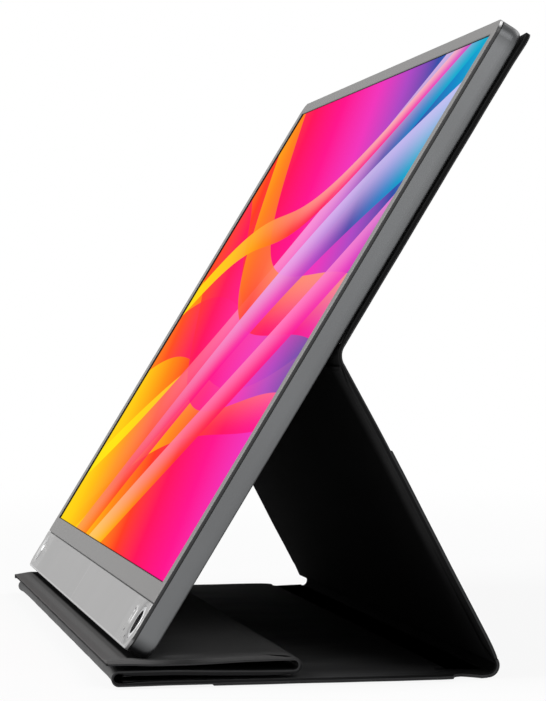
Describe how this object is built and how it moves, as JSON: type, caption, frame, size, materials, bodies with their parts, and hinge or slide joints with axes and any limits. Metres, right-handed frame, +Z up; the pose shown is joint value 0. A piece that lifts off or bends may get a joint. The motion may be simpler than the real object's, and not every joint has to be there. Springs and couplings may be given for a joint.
{
  "type": "portable monitor with cover",
  "caption": "Thin portable monitor with a pen hole in its chin, standing tilted on its folding leather cover.",
  "frame": {"origin": "on the table, midway across the stand and midway from the front edge of the shelf to the rearmost corner of the back panel", "axes": "+X to the right of someone facing the screen, +Y away from them, +Z up"},
  "size_m": [0.3601, 0.1338, 0.2041],
  "materials": {
    "leather_black": "fine pebbled black leather",
    "suede_black": "black microfibre lining",
    "fibreboard": "grey-brown stiffening board",
    "magnet_steel": "nickel-plated magnet",
    "bezel_grey": "dark warm grey, fine satin",
    "chin_silver": "satin silver, spun rings at its ends",
    "gasket_black": "matt black",
    "shell_grey": "satin silver grey",
    "frame_plastic": "black moulding",
    "screw_steel": "plain",
    "screen_film": "lit screen with a colourful picture",
    "cell_glass": "dark liquid crystal cell",
    "sheet_white": "white optical sheets",
    "guide_clear": "clear acrylic light guide",
    "led_white": "row of lamps",
    "mirror_film": "reflector film",
    "circuit_green": "circuit board",
    "can_tin": "tinned shield",
    "chip_black": "moulded chip",
    "flex_amber": "polyimide ribbon",
    "port_steel": "stainless shell",
    "ring_chrome": "bright turned ring",
    "button_silver": "satin with fine rings",
    "lens_clear": "small clear lens"
  },
  "bodies": {
    "base": {"base_skin": "leather_black", "base_board": "fibreboard", "spine_board": "fibreboard", "base_lining": "suede_black", "base_wrap": "leather_black", "front_fold_skin": "leather_black", "front_fold_lining": "suede_black", "leg_fold_skin": "leather_black", "leg_fold_lining": "suede_black", "leg_fold_wrap": "leather_black"},
    "leg": {"leg_skin": "leather_black", "leg_board": "fibreboard", "leg_lining": "suede_black", "leg_wrap": "leather_black", "back_fold_skin": "leather_black", "back_fold_lining": "suede_black"},
    "back_panel": {"back_skin": "leather_black", "back_board": "fibreboard", "back_magnets": "magnet_steel", "back_lining": "suede_black"},
    "flap": {"flap_skin": "leather_black", "flap_board": "fibreboard", "flap_lining": "suede_black", "flap_fold_skin": "leather_black", "flap_fold_lining": "suede_black"},
    "shelf": {"shelf_skin": "leather_black", "shelf_board": "fibreboard", "shelf_magnets": "magnet_steel", "shelf_lining": "suede_black"},
    "menu_button": {"menu_button": "button_silver"},
    "power_button": {"power_button": "button_silver"},
    "monitor": {"front_bezel": "bezel_grey", "chin_plate": "chin_silver", "edge_gasket": "gasket_black", "rear_housing": "shell_grey", "mid_frame": "frame_plastic", "frame_screws": "screw_steel", "front_film": "screen_film", "display_cell": "cell_glass", "light_sheets": "sheet_white", "light_guide": "guide_clear", "led_bar": "led_white", "reflector": "mirror_film", "main_board": "circuit_green", "board_screws": "screw_steel", "shield_can": "can_tin", "picture_chip": "chip_black", "driver_board": "circuit_green", "picture_flex": "flex_amber", "flex_socket": "frame_plastic", "port_shell": "port_steel", "port_tongue": "chip_black", "latch_plates": "magnet_steel", "pen_sleeve": "ring_chrome", "key_ring": "ring_chrome", "menu_switch": "screw_steel", "status_lens": "lens_clear", "power_switch": "frame_plastic"}
  },
  "joints": [
    {"name": "leg_fold", "type": "hinge", "parent": "base", "child": "leg", "pos_m": [0, 0.05479, 0.00225], "axis": [-1, 0, 0], "range_deg": [0, 117.7], "deforming": ["leg_fold_skin", "leg_fold_lining", "leg_fold_wrap"]},
    {"name": "back_fold", "type": "hinge", "parent": "leg", "child": "back_panel", "pos_m": [0, 0.00621, 0.10021], "axis": [1, 0, 0], "range_deg": [0, 59.43], "deforming": ["back_fold_skin", "back_fold_lining"]},
    {"name": "front_fold", "type": "hinge", "parent": "base", "child": "flap", "pos_m": [0, -0.06271, 0.00275], "axis": [1, 0, 0], "range_deg": [0, 129.48], "deforming": ["front_fold_skin", "front_fold_lining"]},
    {"name": "flap_fold", "type": "hinge", "parent": "flap", "child": "shelf", "pos_m": [0, -0.00931, 0.00568], "axis": [-1, 0, 0], "range_deg": [0, 82.4], "deforming": ["flap_fold_skin", "flap_fold_lining"]},
    {"name": "monitor_detach", "type": "slide", "parent": "back_panel", "child": "monitor", "axis": [0, -0.8508, 0.5255], "range_m": [0, 0.03]},
    {"name": "menu_button_press", "type": "slide", "parent": "monitor", "child": "menu_button", "axis": [0, 0.8508, -0.5255], "range_m": [0, 0.0004], "stiffness_N_per_m": 3000, "springref_m": -0.0003},
    {"name": "power_button_press", "type": "slide", "parent": "monitor", "child": "power_button", "axis": [1, 0, 0], "range_m": [0, 0.0004], "stiffness_N_per_m": 3000, "springref_m": -0.0003}
  ],
  "couplings": [
    {"joint": "back_fold", "follows": "leg_fold", "ratio": 0.50484},
    {"joint": "front_fold", "follows": "leg_fold", "ratio": 1.1},
    {"joint": "flap_fold", "follows": "leg_fold", "ratio": 0.7}
  ]
}
